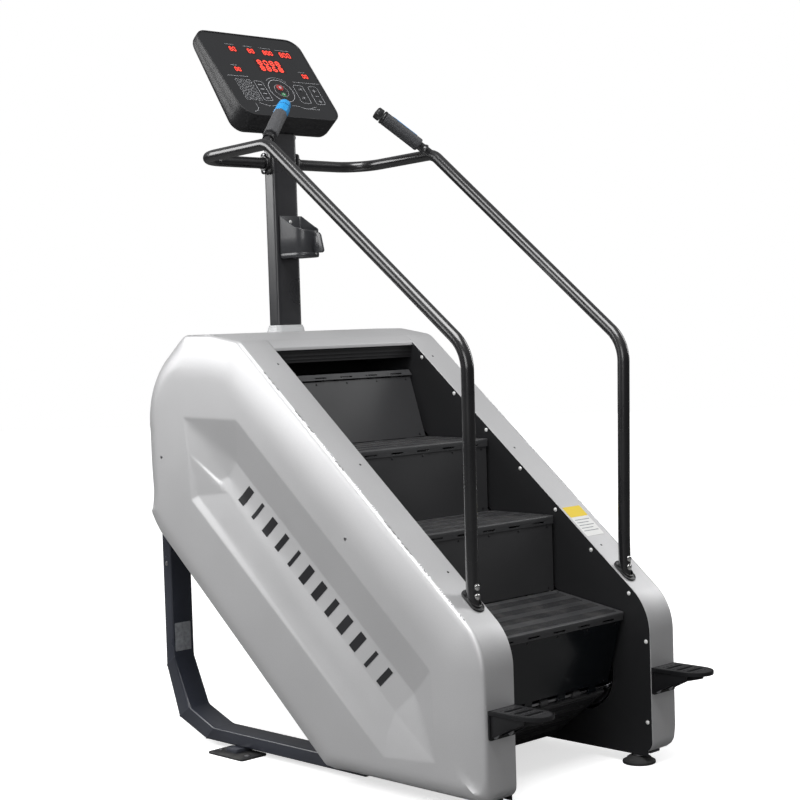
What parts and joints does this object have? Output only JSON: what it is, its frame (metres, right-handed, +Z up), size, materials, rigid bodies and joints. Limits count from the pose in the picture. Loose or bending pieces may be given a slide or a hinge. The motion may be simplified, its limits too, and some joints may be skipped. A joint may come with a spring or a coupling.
{
  "type": "stair climber",
  "caption": "Gym stair climber with a revolving flight of steps, silver side casings, wrap-round handrail, tilted console and hand grips.",
  "frame": {"origin": "floor level, centre of the footprint", "axes": "+Z up, +Y towards the front of the machine (the way the user faces), +X to the user's right"},
  "size_m": [0.7792, 1.466, 2.0446],
  "materials": {
    "step_black": "satin powder coat with dark anti-slip strips",
    "silver_metal": "satin light silver metallic",
    "panel_black": "satin black powder coat",
    "gloss_black": "gloss black",
    "navy_metal": "satin dark charcoal navy",
    "frame_grey": "satin dark grey",
    "steel": "brushed, lightly oiled",
    "guide_plastic": "matte",
    "cast_alloy": "satin",
    "belt_rubber": "matte",
    "foot_rubber": "matte",
    "grip_rubber": "matte",
    "accent_blue": "gloss",
    "grip_charcoal": "matte",
    "trim_black": "matte",
    "collar_grey": "matte",
    "bright_steel": "polished",
    "console_black": "satin",
    "overlay_black": "satin film overlay",
    "key_red": "gloss",
    "key_green": "gloss",
    "key_grey": "gloss"
  },
  "bodies": {
    "machine": {"bottle_holder": "trim_black", "brake_belt": "belt_rubber", "brake_housing": "cast_alloy", "bright_screws": "bright_steel", "chain_guides": "guide_plastic", "console_face": "overlay_black", "console_housing": "console_black", "crossbar_clamp": "gloss_black", "front_cover": "silver_metal", "grip_rings": "accent_blue", "hand_grips": "grip_rubber", "handrail": "gloss_black", "left_leg": "navy_metal", "left_side_shell": "silver_metal", "left_stair_panel": "panel_black", "main_frame": "frame_grey", "mast": "gloss_black", "mast_collar": "collar_grey", "rail_foot_trims": "trim_black", "right_leg": "navy_metal", "right_side_shell": "silver_metal", "right_stair_panel": "panel_black", "shaft_bearings": "steel", "shell_screws": "bright_steel", "side_step_left": "panel_black", "side_step_right": "panel_black", "step_chains": "steel", "top_cowl": "silver_metal", "upper_gap_panel": "panel_black"},
    "lifting_run": {"tread_2": "step_black", "tread_3": "step_black", "riser_2": "step_black", "riser_3": "step_black", "step_pins_lift": "steel"},
    "return_run": {"return_treads": "step_black", "return_risers": "step_black", "step_pins_return": "steel"},
    "riser_4_body": {"riser_4": "step_black"},
    "tread_4_body": {"tread_4": "step_black"},
    "tread_1_body": {"tread_1": "step_black"},
    "riser_1_body": {"riser_1": "step_black"},
    "tread_5_body": {"tread_5": "step_black"},
    "riser_5_body": {"riser_5": "step_black"},
    "riser_8_body": {"riser_8": "step_black"},
    "tread_8_body": {"tread_8": "step_black"},
    "upper_drive": {"upper_shaft": "steel", "upper_sprockets": "steel", "drive_pulley": "cast_alloy"},
    "lower_idler": {"lower_shaft": "steel", "lower_sprockets": "steel"},
    "brake_wheel": {"brake_rotor": "cast_alloy"},
    "left_grip_button": {"grip_button_left": "accent_blue"},
    "right_grip_button": {"grip_button_right": "grip_charcoal"},
    "stop_button": {"stop_key": "key_red"},
    "start_button": {"start_key": "key_green"},
    "speed_up_button": {"speed_up_key": "key_grey"},
    "speed_down_button": {"speed_down_key": "key_grey"},
    "left_levelling_foot": {"foot_left": "foot_rubber"},
    "right_levelling_foot": {"foot_right": "foot_rubber"}
  },
  "joints": [
    {"name": "stair_travel", "type": "slide", "parent": "machine", "child": "lifting_run", "axis": [0, 0.7573, 0.6531], "range_m": [-0.02, 0.02]},
    {"name": "return_travel", "type": "slide", "parent": "machine", "child": "return_run", "axis": [0, 0.7573, 0.6531], "range_m": [-0.021, 0.021]},
    {"name": "riser_4_foot", "type": "hinge", "parent": "lifting_run", "child": "riser_4_body", "pos_m": [0, 0.21553, 0.8358], "axis": [1, 0, 0], "range_deg": [-4.12, 4.12]},
    {"name": "tread_4_nosing", "type": "hinge", "parent": "riser_4_body", "child": "tread_4_body", "pos_m": [0, 0.2783, 1.02885], "axis": [1, 0, 0], "range_deg": [-4.66, 4.66]},
    {"name": "tread_1_back", "type": "hinge", "parent": "lifting_run", "child": "tread_1_body", "pos_m": [0, -0.25527, 0.4298], "axis": [1, 0, 0], "range_deg": [-2.94, 2.94]},
    {"name": "riser_1_top", "type": "hinge", "parent": "tread_1_body", "child": "riser_1_body", "pos_m": [0, -0.48777, 0.39298], "axis": [1, 0, 0], "range_deg": [-3.21, 3.21]},
    {"name": "tread_5_back", "type": "hinge", "parent": "return_run", "child": "tread_5_body", "pos_m": [0, 0.28686, 0.65099], "axis": [1, 0, 0], "range_deg": [-2.95, 2.95]},
    {"name": "riser_5_top", "type": "hinge", "parent": "tread_5_body", "child": "riser_5_body", "pos_m": [0, 0.51933, 0.68801], "axis": [1, 0, 0], "range_deg": [-3.22, 3.22]},
    {"name": "riser_8_foot", "type": "hinge", "parent": "return_run", "child": "riser_8_body", "pos_m": [0, -0.18394, 0.24499], "axis": [1, 0, 0], "range_deg": [-4.1, 4.1]},
    {"name": "tread_8_nosing", "type": "hinge", "parent": "riser_8_body", "child": "tread_8_body", "pos_m": [0, -0.24705, 0.05206], "axis": [1, 0, 0], "range_deg": [-4.68, 4.68]},
    {"name": "upper_shaft_spin", "type": "hinge", "parent": "machine", "child": "upper_drive", "pos_m": [0, 0.37565, 0.85072], "axis": [1, 0, 0], "continuous": true},
    {"name": "lower_shaft_spin", "type": "hinge", "parent": "machine", "child": "lower_idler", "pos_m": [0, -0.34431, 0.22986], "axis": [1, 0, 0], "continuous": true},
    {"name": "brake_spin", "type": "hinge", "parent": "machine", "child": "brake_wheel", "pos_m": [0, 0.62873, 0.725], "axis": [1, 0, 0], "continuous": true},
    {"name": "left_grip_button_press", "type": "slide", "parent": "machine", "child": "left_grip_button", "axis": [-0.6794, -0.386, -0.624], "range_m": [0, 0.002], "stiffness_N_per_m": 900, "springref_m": -0.002},
    {"name": "right_grip_button_press", "type": "slide", "parent": "machine", "child": "right_grip_button", "axis": [0.6794, -0.386, -0.624], "range_m": [0, 0.002], "stiffness_N_per_m": 900, "springref_m": -0.002},
    {"name": "stop_press", "type": "slide", "parent": "machine", "child": "stop_button", "axis": [0, 0.7816, -0.6238], "range_m": [0, 0.001], "stiffness_N_per_m": 600, "springref_m": -0.002},
    {"name": "start_press", "type": "slide", "parent": "machine", "child": "start_button", "axis": [0, 0.7816, -0.6238], "range_m": [0, 0.001], "stiffness_N_per_m": 600, "springref_m": -0.002},
    {"name": "speed_up_press", "type": "slide", "parent": "machine", "child": "speed_up_button", "axis": [0, 0.7816, -0.6238], "range_m": [0, 0.001], "stiffness_N_per_m": 600, "springref_m": -0.002},
    {"name": "speed_down_press", "type": "slide", "parent": "machine", "child": "speed_down_button", "axis": [0, 0.7816, -0.6238], "range_m": [0, 0.001], "stiffness_N_per_m": 600, "springref_m": -0.002},
    {"name": "left_foot_height", "type": "slide", "parent": "machine", "child": "left_levelling_foot", "axis": [0, 0, -1], "range_m": [0, 0.015]},
    {"name": "right_foot_height", "type": "slide", "parent": "machine", "child": "right_levelling_foot", "axis": [0, 0, -1], "range_m": [0, 0.015]}
  ],
  "couplings": [
    {"joint": "return_travel", "follows": "stair_travel", "ratio": -1},
    {"joint": "riser_4_foot", "follows": "stair_travel", "rad_per_m": -3.4814},
    {"joint": "tread_4_nosing", "follows": "stair_travel", "rad_per_m": -3.9443},
    {"joint": "tread_1_back", "follows": "stair_travel", "rad_per_m": -2.4738},
    {"joint": "riser_1_top", "follows": "stair_travel", "rad_per_m": -2.7002},
    {"joint": "tread_5_back", "follows": "stair_travel", "rad_per_m": -2.4801},
    {"joint": "riser_5_top", "follows": "stair_travel", "rad_per_m": -2.7097},
    {"joint": "riser_8_foot", "follows": "stair_travel", "rad_per_m": -3.4685},
    {"joint": "tread_8_nosing", "follows": "stair_travel", "rad_per_m": -3.9611},
    {"joint": "upper_shaft_spin", "follows": "stair_travel", "rad_per_m": -10.722},
    {"joint": "lower_shaft_spin", "follows": "stair_travel", "rad_per_m": -10.722},
    {"joint": "brake_spin", "follows": "stair_travel", "rad_per_m": -60.042}
  ]
}
